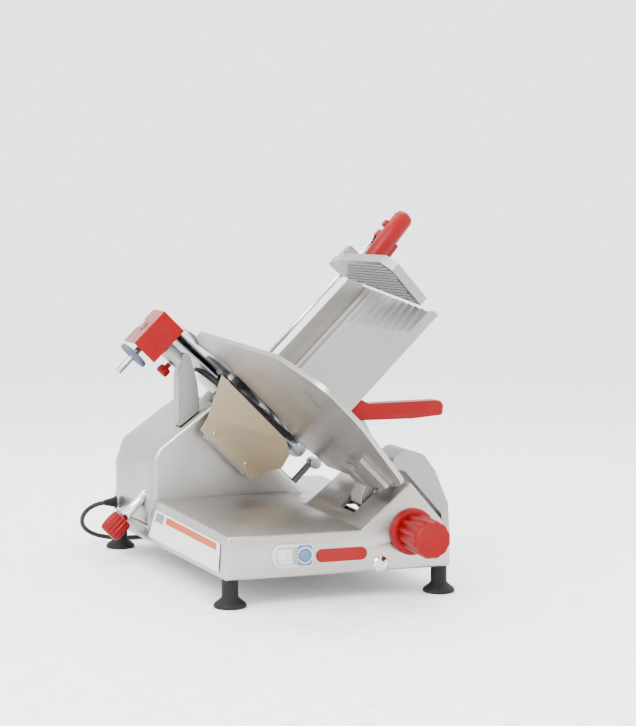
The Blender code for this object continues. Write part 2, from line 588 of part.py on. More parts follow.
def build_tie_rod():
    place("tie_rod", drum_mesh(8, -12, 92, 24), CHROME, SLOPE, (TIE_T, TIE_Y, 0))
    turned("tie_knob", [(0, -12.4), (8.4, -12.4), (8.4, 7), (17, 7), (19.2, 3), (19.2, -24), (16, -29),
                        (0, -29)],
           RED_PLASTIC, SLOPE, (TIE_T, TIE_Y, 0), steps=32)


# ---------------------------------------------------------------- mains lead

def path_points(path, steps):
    """Points along a chain of cubic curves that share their end points."""
    points = [Vector(path[0])]
    for i in range(0, len(path) - 1, 3):
        start, leave, arrive, end = (Vector(p) for p in path[i:i + 4])
        for k in range(1, steps + 1):
            u = k / steps
            v = 1 - u
            points.append(start * v ** 3 + leave * (3 * u * v * v) + arrive * (3 * u * u * v) + end * u ** 3)
    return points


def build_lead():
    relief = [(4.6, 68.0), (5.4, 68.0), (7.0, 54.0), (7.6, 49.6), (10.5, 49.2), (10.5, 46.4), (4.6, 46.4)]
    turned("strain_relief", relief, RUBBER, FRAME, (0, 505, 80), (0, -90, 0), steps=24, ring=True)
    curve = bpy.data.curves.new("power_cord", "CURVE")
    curve.dimensions = "3D"
    curve.bevel_depth = CORD_D / 2 * MM
    curve.bevel_resolution = 2
    curve.use_fill_caps = True
    spline = curve.splines.new("POLY")
    points = path_points(LEAD_PATH, 14)
    spline.points.add(len(points) - 1)
    for point, position in zip(spline.points, points):
        point.co = (*(position * MM), 1.0)
    place("power_cord", curve_to_mesh(curve), RUBBER, FRAME)
    inner, outer, height = COIL_R - CORD_D, COIL_R + CORD_D, 3 * CORD_D
    turned("cord_coil", [(inner, height), (outer, height), (outer, 0.1), (inner, 0.1)], RUBBER, FRAME,
           (*COIL_CENTRE, 0), steps=40, ring=True)
    plug = rounded([(-22, -15, 4), (17, -13, 4), (24, 0, 0), (17, 13, 4), (-22, 15, 4), (-26, 0, 0)], 3)
    place("power_plug", prism_mesh(plug, height + GAP, height + 17), RUBBER, FRAME,
          (COIL_CENTRE[0] - 26, COIL_CENTRE[1] + COIL_R, 0))


# ---------------------------------------------------------------- assembly

clear_scene()
PARTS = new_collection("deli_meat_slicer")
CUTTERS = new_collection("cutters")

ALUMINIUM = material("aluminium", (0.62, 0.61, 0.59), 0.34, 1.0)
STEEL = material("brushed_steel", (0.60, 0.60, 0.60), 0.28, 1.0)
KNIFE_STEEL = material("knife_steel", (0.74, 0.74, 0.76), 0.14, 1.0)
DARK_STEEL = material("dark_steel", (0.16, 0.16, 0.17), 0.45, 0.8)
CHROME = material("chrome", (0.80, 0.80, 0.82), 0.08, 1.0)
BEIGE = material("deflector_coat", (0.58, 0.48, 0.36), 0.40, 0.6)
RED_PLASTIC = material("red_plastic", (0.60, 0.02, 0.03), 0.35)
RED_ENAMEL = material("red_enamel", (0.66, 0.02, 0.03), 0.28)
WHITE_PLASTIC = material("white_plastic", (0.80, 0.80, 0.79), 0.40)
BLUE_PLASTIC = material("blue_plastic", (0.16, 0.28, 0.46), 0.40)
STONE = material("grinding_stone", (0.22, 0.23, 0.29), 0.90)
RUBBER = material("black_rubber", (0.03, 0.03, 0.03), 0.70)

FRAME = new_empty("machine_frame", None, (*ORIGIN, 0.0))
SLOPE = new_empty("slope_frame", FRAME, (0, 0, 0), (0, LEAN, 0))
KNIFE_AXIS = new_empty("knife_axis", SLOPE, (KNIFE_T, KNIFE_Y, 0))
MOTOR_AXIS = new_empty("motor_axis", SLOPE, (MOTOR_T, MOTOR_Y, 0))
INDEX_AXIS = new_empty("index_axis", FRAME, (INDEX_X, 0, INDEX_Z))
PUSHER_AXIS = new_empty("pusher_axis", SLOPE, (PUSHER_ROD_T, PUSHER_ROD_Y, 0))

build_base()
build_front_panel()
build_column()
build_knife()
build_deflector()
build_gauge()
build_carriage()
build_pusher()
build_sharpener()
build_tie_rod()
build_lead()
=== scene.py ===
"""Looks of the deli meat slicer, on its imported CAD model.

Sizes are millimetres and are turned into metres by MM. Machine coordinates start on the floor
under the front left foot, with +X to the operator's right, +Y away from the operator and +Z up.
The slope frame (t, y, s) leans at 45 degrees with the knife: t runs down the knife plane to the
right, and s is normal to it and points up to the right, towards the product.
"""
import json
import math

import bmesh
import bpy
from mathutils import Matrix, Vector


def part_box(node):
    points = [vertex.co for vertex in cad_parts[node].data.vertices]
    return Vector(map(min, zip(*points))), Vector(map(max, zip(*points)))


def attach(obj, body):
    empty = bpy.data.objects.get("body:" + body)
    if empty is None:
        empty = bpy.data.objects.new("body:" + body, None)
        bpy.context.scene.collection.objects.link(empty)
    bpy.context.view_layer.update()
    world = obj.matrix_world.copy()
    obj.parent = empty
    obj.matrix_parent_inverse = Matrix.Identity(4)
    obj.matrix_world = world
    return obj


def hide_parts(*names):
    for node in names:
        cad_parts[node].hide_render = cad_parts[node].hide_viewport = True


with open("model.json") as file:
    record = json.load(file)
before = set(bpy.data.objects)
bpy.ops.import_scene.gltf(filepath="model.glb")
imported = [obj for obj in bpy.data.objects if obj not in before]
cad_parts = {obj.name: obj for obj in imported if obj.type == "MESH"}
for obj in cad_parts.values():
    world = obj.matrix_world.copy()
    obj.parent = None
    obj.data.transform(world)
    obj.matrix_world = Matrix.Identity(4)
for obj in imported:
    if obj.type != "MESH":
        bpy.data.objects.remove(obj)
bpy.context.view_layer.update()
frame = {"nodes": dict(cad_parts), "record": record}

MM = 0.001
LEAN = 45.0                        # knife plane angle, degrees

KNIFE_T, KNIFE_Y = -111.0, 409.0
INDEX_X, INDEX_Z = 273.0, 97.5
FRONT = -19.4                      # front face of the base
PANEL = FRONT - 0.3                # where pieces on the front face start
STOP_X, SWITCH_Z = 104.5, 73.5     # stop button on the front face
LEVEL_X, LEVEL_Z = 225.0, 51.5     # round screw on the front face
RELIEF_X, RELIEF_Y, RELIEF_Z = -46.4, 505.0, 80.0
COVER_Y = 533.0                    # outer face of the rear cover
STONE_T, STONE_Y = -269.5, 385.0
TIE_T, TIE_Y = -92.0, 400.0
CLAMP_T = -216.0
PUSHER_LOW = 504.0                 # underside of the pusher plate

# Camera, metres and degrees, and its lens in millimetres
CAMERA_PLACE = (-0.7398, -2.4428, 0.5537)
CAMERA_DOWN, CAMERA_RIGHT = 4.534, 19.685
CAMERA_LENS, SENSOR = 101.9, 36.0

CORD_D = 7.5
COIL_CENTRE = (110.0, 632.0)
COIL_R = 41.0
PLUG_X, PLUG_Z = 84.0, 31.3
# Two cubic curves end to end, each with its end points and two handles
LEAD_PATH = [(-64.0, 505.0, 80.0), (-114.0, 505.0, 80.0), (-126.0, 572.0, 4.3), (0.0, 583.0, 4.2),
             (27.0, 585.3, 4.15), (54.0, 587.25, 4.1), (81.0, 587.25, 4.1)]

NODE_BODY = {node: body for body, nodes in frame["record"]["behaviour"]["bodies"].items()
             for node in nodes}


def middle(node):
    low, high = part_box(node)
    return (Vector(low) + Vector(high)) / 2


FOOT = middle("foot_front_left")
MACHINE = Matrix.Translation((FOOT.x, FOOT.y, 0.0))
SLOPE = MACHINE @ Matrix.Rotation(math.radians(LEAN), 4, "Y")


# ---------------------------------------------------------------- materials

class Look:
    """A material being built: its nodes and its Principled shader."""

    def __init__(self, name, colour, roughness, metallic=0.0):
        self.mat = bpy.data.materials.new(name)
        self.mat.use_nodes = True
        self.tree = self.mat.node_tree
        self.shader = self.tree.nodes["Principled BSDF"]
        self.shader.inputs["Metallic"].default_value = metallic
        self.colour = colour
        self.roughness = roughness
        self.mat.diffuse_color = (*colour, 1.0)

    def node(self, kind, **settings):
        made = self.tree.nodes.new(kind)
        for key, value in settings.items():
            setattr(made, key, value)
        return made

    def link(self, source, target):
        self.tree.links.new(source, target)

    def places(self, sizes, turn=(0.0, 0.0, 0.0), origin=(0.0, 0.0, 0.0)):
        """Coordinates in the piece's own frame, with features of these sizes in metres."""
        where = self.node("ShaderNodeTexCoord")
        mapping = self.node("ShaderNodeMapping", vector_type="TEXTURE")
        mapping.inputs["Location"].default_value = origin
        mapping.inputs["Rotation"].default_value = [math.radians(a) for a in turn]
        mapping.inputs["Scale"].default_value = sizes
        self.link(where.outputs["Object"], mapping.inputs["Vector"])
        return mapping.outputs["Vector"]

    def noise(self, vector, detail=3.0, distortion=0.0):
        made = self.node("ShaderNodeTexNoise")
        made.inputs["Scale"].default_value = 1.0
        made.inputs["Detail"].default_value = detail
        made.inputs["Distortion"].default_value = distortion
        self.link(vector, made.inputs["Vector"])
        return made.outputs["Fac"]

    def spread(self, factor, low, high, start=0.3, end=0.7):
        """The factor's range from start to end, turned into low to high."""
        made = self.node("ShaderNodeMapRange")
        made.inputs["From Min"].default_value = start
        made.inputs["From Max"].default_value = end
        made.inputs["To Min"].default_value = low
        made.inputs["To Max"].default_value = high
        self.link(factor, made.inputs["Value"])
        return made.outputs["Result"]

    def sum(self, a, b):
        made = self.node("ShaderNodeMath", operation="ADD")
        self.link(a, made.inputs[0])
        self.link(b, made.inputs[1])
        return made.outputs["Value"]

    def blend(self, factor, first, second):
        """A colour between two colours, each a tuple or a socket."""
        made = self.node("ShaderNodeMix", data_type="RGBA")
        self.link(factor, made.inputs["Factor"])
        for socket, value in ((made.inputs[6], first), (made.inputs[7], second)):
            if isinstance(value, tuple):
                socket.default_value = (*value, 1.0)
            else:
                self.link(value, socket)
        return made.outputs[2]

    def edges(self, start=0.52, end=0.60):
        """1 on worn outer edges, 0 elsewhere."""
        shape = self.node("ShaderNodeNewGeometry")
        return self.spread(shape.outputs["Pointiness"], 0.0, 1.0, start, end)

    def bump(self, height, depth, strength=1.0):
        made = self.node("ShaderNodeBump")
        made.inputs["Strength"].default_value = strength
        made.inputs["Distance"].default_value = depth
        self.link(height, made.inputs["Height"])
        self.link(made.outputs["Normal"], self.shader.inputs["Normal"])

    def paint(self, colour, roughness):
        self.link(colour, self.shader.inputs["Base Color"])
        self.link(roughness, self.shader.inputs["Roughness"])
        return self.mat


def shade(colour, factor):
    return tuple(min(1.0, c * factor) for c in colour)


def brushed(name, colour, roughness, sizes, turn=(0, 0, 0), depth=0.00006, smudge=0.04):
    """Metal with a straight brushed grain, finger smudges and bright worn edges.

    The sizes are those of the grain in metres, long along the brushing and short across it.
    """
    look = Look(name, colour, roughness, 1.0)
    grain = look.noise(look.places(sizes, turn), 5.0)
    cloud = look.noise(look.places((0.07, 0.07, 0.07)), 3.0, 0.6)
    speck = look.noise(look.places((0.0015, 0.0015, 0.0015)), 2.0)
    tone = look.blend(look.spread(grain, 0.0, 1.0), shade(colour, 0.93), shade(colour, 1.05))
    tone = look.blend(look.spread(cloud, 0.0, 0.35), tone, shade(colour, 0.93))
    tone = look.blend(look.edges(), tone, shade(colour, 1.22))
    rough = look.sum(look.spread(grain, roughness - 0.06, roughness + 0.06),
                     look.spread(cloud, -smudge, smudge))
    look.bump(look.sum(look.spread(grain, 0.0, 1.0), look.spread(speck, 0.0, 0.25)), depth, 0.6)
    return look.paint(tone, rough)


def turned_metal(name, colour, roughness, pitch, depth):
    """Metal with fine concentric tool marks about the knife's axis."""
    look = Look(name, colour, roughness, 1.0)
    axis = SLOPE @ (Vector((KNIFE_T, KNIFE_Y, 0.0)) * MM)
    around = look.places((1.0, 1.0, 1.0), (0.0, LEAN, 0.0), tuple(axis))
    parts = look.node("ShaderNodeSeparateXYZ")
    look.link(around, parts.inputs["Vector"])
    flat = look.node("ShaderNodeCombineXYZ")
    look.link(parts.outputs["X"], flat.inputs["X"])
    look.link(parts.outputs["Y"], flat.inputs["Y"])
    radius = look.node("ShaderNodeVectorMath", operation="LENGTH")
    look.link(flat.outputs["Vector"], radius.inputs[0])
    rings = look.node("ShaderNodeTexNoise", noise_dimensions="1D")
    rings.inputs["Scale"].default_value = 1.0 / pitch
    rings.inputs["Detail"].default_value = 4.0
    look.link(radius.outputs["Value"], rings.inputs["W"])
    marks = rings.outputs["Fac"]
    cloud = look.noise(look.places((0.05, 0.05, 0.05)), 2.0)
    tone = look.blend(look.spread(marks, 0.0, 1.0), shade(colour, 0.92), shade(colour, 1.04))
    rough = look.sum(look.spread(marks, roughness - 0.04, roughness + 0.05),
                     look.spread(cloud, -0.03, 0.03))
    look.bump(marks, depth, 0.5)
    return look.paint(tone, rough)


def moulded(name, colour, roughness, dusty=1.12, grain=0.0009, depth=0.00005, coat=0.0, gloss=0.16):
    """Plastic, enamel or rubber: a fine surface texture, uneven gloss and slightly rubbed edges."""
    look = Look(name, colour, roughness)
    look.shader.inputs["Specular IOR Level"].default_value = gloss
    look.shader.inputs["Coat Weight"].default_value = coat
    look.shader.inputs["Coat Roughness"].default_value = 0.12
    fine = look.noise(look.places((grain, grain, grain)), 3.0)
    cloud = look.noise(look.places((0.03, 0.03, 0.03)), 3.0, 0.4)
    tone = look.blend(look.spread(cloud, 0.0, 1.0), shade(colour, 0.92), shade(colour, 1.06))
    tone = look.blend(look.edges(0.53, 0.66), tone, shade(colour, dusty))
    rough = look.sum(look.spread(fine, roughness - 0.05, roughness + 0.05), look.spread(cloud, -0.06, 0.06))
    look.bump(fine, depth, 0.7)
    return look.paint(tone, rough)


def gritty(name, colour):
    """Bonded abrasive: dark and light grains in a rough surface."""
    look = Look(name, colour, 0.92)
    grains = look.noise(look.places((0.0006, 0.0006, 0.0006)), 4.0)
    patches = look.noise(look.places((0.008, 0.008, 0.008)), 2.0)
    tone = look.blend(look.spread(grains, 0.0, 1.0, 0.42, 0.62), shade(colour, 0.65), shade(colour, 1.5))
    tone = look.blend(look.spread(patches, 0.0, 0.4), tone, shade(colour, 0.8))
    look.bump(grains, 0.0003, 0.9)
    return look.paint(tone, look.spread(patches, 0.85, 0.98))


CAST = (0.36, 0.345, 0.325)
cast_y = brushed("cast_aluminium_along", CAST, 0.36, (0.0012, 0.09, 0.0012))
cast_x = brushed("cast_aluminium_across", CAST, 0.36, (0.09, 0.0012, 0.0012))
chute_metal = brushed("chute_aluminium", (0.30, 0.29, 0.275), 0.42, (0.0016, 0.0016, 0.11), (0, LEAN, 0))
plate_metal = brushed("gauge_aluminium", (0.31, 0.30, 0.285), 0.33, (0.10, 0.0010, 0.0012),
                      (0, LEAN, 0), 0.00008)
small_cast = brushed("small_casting", (0.29, 0.28, 0.265), 0.46, (0.004, 0.004, 0.004), (0, 0, 0), 0.00015)
steel = brushed("brushed_steel", (0.38, 0.375, 0.365), 0.28, (0.04, 0.0008, 0.0008))
dark_steel = brushed("dark_steel", (0.06, 0.06, 0.064), 0.45, (0.003, 0.003, 0.003))
chrome = brushed("chrome", (0.60, 0.60, 0.62), 0.09, (0.004, 0.02, 0.004), (0, 0, 0), 0.00001, 0.03)
brass = brushed("brass", (0.62, 0.44, 0.18), 0.30, (0.003, 0.003, 0.003))
knife_metal = turned_metal("knife_steel", (0.44, 0.44, 0.46), 0.17, 0.0005, 0.00002)
guard_metal = turned_metal("guard_aluminium", (0.30, 0.30, 0.31), 0.46, 0.0009, 0.00005)
beige = brushed("deflector_coat", (0.31, 0.25, 0.17), 0.40, (0.08, 0.0012, 0.0012), (0, LEAN, 0), 0.00005)
red_plastic = moulded("red_plastic", (0.18, 0.0004, 0.0018), 0.36, 1.2)
red_enamel = moulded("red_enamel", (0.20, 0.0004, 0.0018), 0.30, 1.12, 0.004, 0.00006, 0.08)
white_plastic = moulded("white_plastic", (0.50, 0.50, 0.49), 0.34, 1.05)
label_white = moulded("label_white", (0.62, 0.62, 0.61), 0.45, 1.0)
label_orange = moulded("label_orange", (0.42, 0.055, 0.002), 0.45, 1.0)
grey_plastic = moulded("grey_plastic", (0.16, 0.18, 0.22), 0.42, 1.15)
blue_plastic = moulded("blue_plastic", (0.08, 0.15, 0.28), 0.38, 1.2)
rubber = moulded("black_rubber", (0.010, 0.0095, 0.0095), 0.62, 2.2, 0.0012, 0.00008)
cord_rubber = moulded("cord_sheath", (0.014, 0.0135, 0.0135), 0.50, 1.6, 0.0008, 0.00004)
stone = gritty("grinding_stone", (0.075, 0.09, 0.14))
floor_paint = moulded("floor_paint", (0.96, 0.96, 0.96), 0.60, 1.0, 0.01, 0.00002)


# ---------------------------------------------------------------- making pieces

def piece(name, mesh, mat, body, nodes=(), matrix=None, angle=35.0):
    """A finished piece that rides on a body and stands for CAD nodes."""
    obj = bpy.data.objects.new(name, mesh)
    bpy.context.scene.collection.objects.link(obj)
    if matrix is not None:
        mesh.transform(matrix)
    mesh.materials.clear()
    mesh.materials.append(mat)
    mesh.shade_smooth()
    mesh.set_sharp_from_angle(angle=math.radians(angle))
    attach(obj, body)
    if nodes:
        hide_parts(*nodes)
    return obj


def closed(bm, name="mesh"):
    bmesh.ops.recalc_face_normals(bm, faces=bm.faces[:])
    mesh = bpy.data.meshes.new(name)
    bm.to_mesh(mesh)
    bm.free()
    return mesh


def round_off(obj, width, segments=3, angle=40.0):
    mod = obj.modifiers.new("Edges", "BEVEL")
    mod.width = width * MM
    mod.segments = segments
    mod.limit_method = "ANGLE"
    mod.angle_limit = math.radians(angle)
    mod.harden_normals = True


def skin(node, mat, bevel=0.0, segments=2):
    """The CAD node's own shape with flat faces merged, softer edges and smooth shading."""
    bm = bmesh.new()
    bm.from_mesh(frame["nodes"][node].data)
    bmesh.ops.remove_doubles(bm, verts=bm.verts[:], dist=1e-6)
    if bevel:
        bmesh.ops.dissolve_limit(bm, angle_limit=math.radians(0.5), verts=bm.verts[:], edges=bm.edges[:])
    obj = piece(node + "_finish", closed(bm), mat, NODE_BODY[node], (node,))
    if bevel:
        round_off(obj, bevel, segments)
    return obj


def lathe_mesh(profile, steps=96):
    """A closed (radius, height) profile in millimetres, turned about the local Z axis."""
    bm = bmesh.new()
    rings = []
    for radius, height in profile:
        if radius <= 0:
            rings.append([bm.verts.new((0, 0, height * MM))])
            continue
        angles = [2 * math.pi * k / steps for k in range(steps)]
        rings.append([bm.verts.new((radius * math.cos(a) * MM, radius * math.sin(a) * MM, height * MM))
                      for a in angles])
    pairs = list(zip(rings, rings[1:]))
    if profile[0][0] > 0:
        pairs.append((rings[-1], rings[0]))
    for here, there in pairs:
        for k in range(steps):
            j = (k + 1) % steps
            corners = [here[k % len(here)], here[j % len(here)],
                       there[j % len(there)], there[k % len(there)]]
            unique = list(dict.fromkeys(corners))
            if len(unique) > 2:
                bm.faces.new(unique)
    return closed(bm)


def fluted_mesh(rings, flutes, power=1.5, per_flute=10):
    """Rings of (radius, height, groove depth), closed at both ends, with grooves all round."""
    bm = bmesh.new()
    count = flutes * per_flute
    rows = []
    for radius, height, depth in rings:
        row = []
        for k in range(count):
            angle = 2 * math.pi * k / count
            groove = ((1 + math.cos(flutes * angle)) / 2) ** power
            r = (radius - depth * groove) * MM
            row.append(bm.verts.new((r * math.cos(angle), r * math.sin(angle), height * MM)))
        rows.append(row)
    for here, there in zip(rows, rows[1:]):
        for k in range(count):
            j = (k + 1) % count
            bm.faces.new((here[k], here[j], there[j], there[k]))
    bm.faces.new(rows[0])
    bm.faces.new(rows[-1])
    return closed(bm)


def block_mesh(low, high, bevel=0.6, segments=3):
    bm = bmesh.new()
    size = [(b - a) * MM for a, b in zip(low, high)]
    centre = [(a + b) / 2 * MM for a, b in zip(low, high)]
    bmesh.ops.create_cube(bm, size=1.0, matrix=Matrix.Translation(centre) @ Matrix.Diagonal((*size, 1.0)))
    bmesh.ops.bevel(bm, geom=bm.edges[:], offset=bevel * MM, segments=segments, profile=0.5, affect="EDGES")
    return closed(bm)


def rounded(corners, segments=6):
    """Points of an outline whose corners (x, y, radius) are replaced by arcs."""
    points = []
    for i, (x, y, radius) in enumerate(corners):
        here = Vector((x, y))
        back = (Vector(corners[i - 1][:2]) - here).normalized()
        ahead = (Vector(corners[(i + 1) % len(corners)][:2]) - here).normalized()
        if radius <= 0:
            points.append((x, y))
            continue
        half = back.angle(ahead) / 2
        start, end = here + back * radius / math.tan(half), here + ahead * radius / math.tan(half)
        centre = here + (back + ahead).normalized() * (radius / math.sin(half))
        a, b = start - centre, end - centre
        turn = a.angle_signed(b)
        for k in range(segments + 1):
            ca, sa = math.cos(-turn * k / segments), math.sin(-turn * k / segments)
            points.append((centre.x + a.x * ca - a.y * sa, centre.y + a.x * sa + a.y * ca))
    return points


def slab_mesh(outline, low, high):
    """A flat outline in the local XY plane, from z = low to z = high."""
    bm = bmesh.new()
    bottom = [bm.verts.new((x * MM, y * MM, low * MM)) for x, y in outline]
    top = [bm.verts.new((x * MM, y * MM, high * MM)) for x, y in outline]
    for k in range(len(outline)):
        j = (k + 1) % len(outline)
        bm.faces.new((bottom[k], bottom[j], top[j], top[k]))
    bm.faces.new(bottom)
    bm.faces.new(top)
    return closed(bm)


def cut(obj, label, name, mesh, matrix):
    """Take a hidden cutter's shape away from a piece."""
    mesh.transform(matrix)
    cutter = bpy.data.objects.new(name, mesh)
    bpy.context.scene.collection.objects.link(cutter)
    cutter.hide_render = True
    cutter.display_type = "WIRE"
    mod = obj.modifiers.new(label, "BOOLEAN")
    mod.operation = "DIFFERENCE"
    mod.solver = "EXACT"
    mod.object = cutter


def plate_patch(node, along, up, lift):
    """The part of an upright plate between shares of its length and height, raised by lift."""
    bm = bmesh.new()
    bm.from_mesh(frame["nodes"][node].data)
    low, high = (Vector(corner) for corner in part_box(node))
    for axis, shares in ((1, along), (2, up)):
        for share, side in zip(shares, (-1.0, 1.0)):
            normal = Vector((0.0, 0.0, 0.0))
            normal[axis] = side
            place = low.lerp(high, share)
            cut = bmesh.ops.bisect_plane(bm, geom=bm.verts[:] + bm.edges[:] + bm.faces[:], plane_co=place,
                                         plane_no=normal, clear_outer=True)
            rim = [e for e in cut["geom_cut"] if isinstance(e, bmesh.types.BMEdge)]
            bmesh.ops.edgenet_fill(bm, edges=rim)
    bmesh.ops.translate(bm, verts=bm.verts[:], vec=Vector((-lift * MM, 0.0, 0.0)))
    return closed(bm)


def at(matrix, location=(0, 0, 0), turn=(0, 0, 0)):
    """A place in a frame: a location in millimetres and turns in degrees about X, Y and Z."""
    spin = Matrix.Identity(4)
    for angle, axis in zip(turn, "XYZ"):
        spin = Matrix.Rotation(math.radians(angle), 4, axis) @ spin
    return matrix @ Matrix.Translation(Vector(location) * MM) @ spin


FACING = (90, 0, 0)                # turns a local Z axis to point at the operator


# ---------------------------------------------------------------- camera, light and floor

def build_camera():
    data = bpy.data.cameras.new("camera")
    data.sensor_width = SENSOR
    data.lens = CAMERA_LENS
    data.sensor_fit = "HORIZONTAL"
    camera = bpy.data.objects.new("camera", data)
    camera.location = MACHINE @ Vector(CAMERA_PLACE)
    camera.rotation_euler = (math.radians(90 - CAMERA_DOWN), 0.0, math.radians(-CAMERA_RIGHT))
    bpy.context.scene.collection.objects.link(camera)
    bpy.context.scene.camera = camera


def soft_box(name, location, target, size, power):
    data = bpy.data.lights.new(name, "AREA")
    data.shape = "RECTANGLE"
    data.size, data.size_y = size
    data.energy = power
    light = bpy.data.objects.new(name, data)
    light.location = location
    light.rotation_euler = (Vector(target) - Vector(location)).to_track_quat("-Z", "Y").to_euler()
    bpy.context.scene.collection.objects.link(light)


def build_studio():
    world = bpy.data.worlds.new("studio")
    world.use_nodes = True
    sky = world.node_tree.nodes["Background"]
    sky.inputs["Color"].default_value = (0.96, 0.97, 1.0, 1.0)
    sky.inputs["Strength"].default_value = 2.9
    bpy.context.scene.world = world
    soft_box("key", (-1.6, -1.6, 1.9), (0.0, 0.0, 0.2), (1.6, 1.6), 110.0)
    soft_box("fill", (1.8, -1.4, 1.2), (0.0, 0.0, 0.25), (1.2, 1.6), 10.0)
    soft_box("top", (0.2, 0.4, 2.2), (0.0, 0.0, 0.2), (1.8, 1.4), 60.0)

    bm = bmesh.new()
    bmesh.ops.create_grid(bm, x_segments=2, y_segments=2, size=8.0)
    mesh = bpy.data.meshes.new("floor")
    bm.to_mesh(mesh)
    bm.free()
    mesh.materials.append(floor_paint)
    floor = bpy.data.objects.new("floor", mesh)
    bpy.context.scene.collection.objects.link(floor)


# ---------------------------------------------------------------- mains lead

def path_points(path, steps):
    """Points along a chain of cubic curves that share their end points."""
    points = [Vector(path[0])]
    for i in range(0, len(path) - 1, 3):
        start, leave, arrive, end = (Vector(p) for p in path[i:i + 4])
        for k in range(1, steps + 1):
            u = k / steps
            v = 1 - u
            points.append(start * v ** 3 + leave * (3 * u * v * v) + arrive * (3 * u * u * v) + end * u ** 3)
    return points


def coil_points():
    """Turns of the lead that lie beside and on each other, then rise to the plug.

    Each turn moves to the next place on the ring's section shortly before it would meet the
    start of the move before it, so no two turns share a place.
    """
    step = CORD_D / 2
    first = CORD_D / 2 + 0.35
    inner, outer = COIL_R - step, COIL_R + step
    seats = [(outer, 0), (inner, 0), (inner, 1), (outer, 1), (outer, 2), (inner, 2)]
    width, end, rise_from, rise_to = 45.0, 1980.0, 1850.0, 1945.0
    points = []
    degrees = 8.0
    while degrees <= end:
        seat = 0
        share = 0.0
        for k in range(1, len(seats)):
            begin = k * (360.0 - width)
            if degrees >= begin + width:
                seat = k
            elif degrees > begin:
                share = (degrees - begin) / width
        here, there = seats[seat], seats[min(seat + 1, len(seats) - 1)]
        ease = share * share * (3 - 2 * share)
        radius = here[0] + (there[0] - here[0]) * ease
        level = here[1] + (there[1] - here[1]) * ease
        height = first + level * CORD_D
        if degrees > rise_from:
            lift = min(1.0, (degrees - rise_from) / (rise_to - rise_from))
            lift = lift * lift * (3 - 2 * lift)
            height += (PLUG_Z - height) * lift
            radius += (COIL_R - radius) * lift
        angle = math.radians(degrees - 90.0)
        points.append(Vector((COIL_CENTRE[0] + radius * math.cos(angle),
                              COIL_CENTRE[1] + radius * math.sin(angle), height)))
        degrees += 8.0
    return points


def build_lead():
    route = path_points(LEAD_PATH, 14) + coil_points()
    points = [MACHINE @ (p * MM) for p in route]
    curve = bpy.data.curves.new("mains_lead", "CURVE")
    curve.dimensions = "3D"
    curve.bevel_depth = CORD_D / 2 * MM
    curve.bevel_resolution = 5
    curve.use_fill_caps = True
    spline = curve.splines.new("POLY")
    spline.points.add(len(points) - 1)
    for target, point in zip(spline.points, points):
        target.co = (*point, 1.0)
    spline.use_smooth = True
    curve.materials.append(cord_rubber)
    lead = bpy.data.objects.new("mains_lead", curve)
    bpy.context.scene.collection.objects.link(lead)
    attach(lead, "machine")
    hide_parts("power_cord", "cord_coil")

    pins_x = PLUG_X - 26
    outline = rounded([(-22, -14, 4), (8, -13, 4), (24, -5, 3), (24, 5, 3), (8, 13, 4), (-22, 14, 4)])
    plug = piece("plug_body", slab_mesh(outline, -8, 8), rubber, "machine", ("power_plug",),
                 at(MACHINE, (PLUG_X, COIL_CENTRE[1] + COIL_R, PLUG_Z)))
    round_off(plug, 1.8)
    pins = []
    for side in (-6.0, 6.0):
        pin = block_mesh((pins_x - 12, side - 3.2, -0.8), (pins_x + 6, side + 3.2, 0.8), 0.3)
        pins.append(piece("plug_pin_%d" % (len(pins) + 1), pin, brass, "machine",
                          matrix=at(MACHINE, (0, COIL_CENTRE[1] + COIL_R, PLUG_Z))))

    ribs = [(4.0, 0.0), (10.6, 0.0), (10.6, 2.6)]
    for k in range(5):
        radius = 8.4 - 0.75 * k
        ribs += [(radius, 3.4 + 3.6 * k), (radius, 5.4 + 3.6 * k), (radius - 1.3, 5.8 + 3.6 * k),
                 (radius - 1.3, 6.6 + 3.6 * k)]
    ribs += [(4.0, 21.4)]
    relief = piece("cord_gland", lathe_mesh(ribs, 48), rubber, "machine", ("strain_relief",),
                   at(MACHINE, (RELIEF_X, RELIEF_Y, RELIEF_Z), (0, -90, 0)))

    across, high = 2 * CORD_D + 1.6, 3 * CORD_D + 1.4
    half, corner = across / 2, 3.5
    band = rounded([(-half, 0, corner), (half, 0, corner), (half, high, corner), (-half, high, corner)])
    strap = piece("cord_tie", slab_mesh(band, -3.0, 3.0), rubber, "machine",
                  matrix=at(MACHINE, (COIL_CENTRE[0] - COIL_R, COIL_CENTRE[1], 0.3), (90, 0, 0)))
    round_off(strap, 0.4, 2)


# ---------------------------------------------------------------- base and front

def build_base():
    skin("base_casting", cast_y)
    skin("bottom_cover", steel, 0.4)
    profile = [(0, 40.6), (11.4, 40.6), (12.0, 40.0), (12.0, 17.5), (12.6, 15.0), (14.6, 12.6),
               (18.0, 10.0), (21.4, 7.4), (23.4, 5.2), (24.1, 3.4), (23.8, 1.4), (22.6, 0.2),
               (21.5, 0.0), (0, 0.0)]
    for corner in ("front_left", "front_right", "back_left", "back_right"):
        node = "foot_" + corner
        place = middle(node)
        foot = lathe_mesh(profile, 72)
        piece(node + "_finish", foot, rubber, "machine", (node,),
              Matrix.Translation((place.x, place.y, 0.0)))


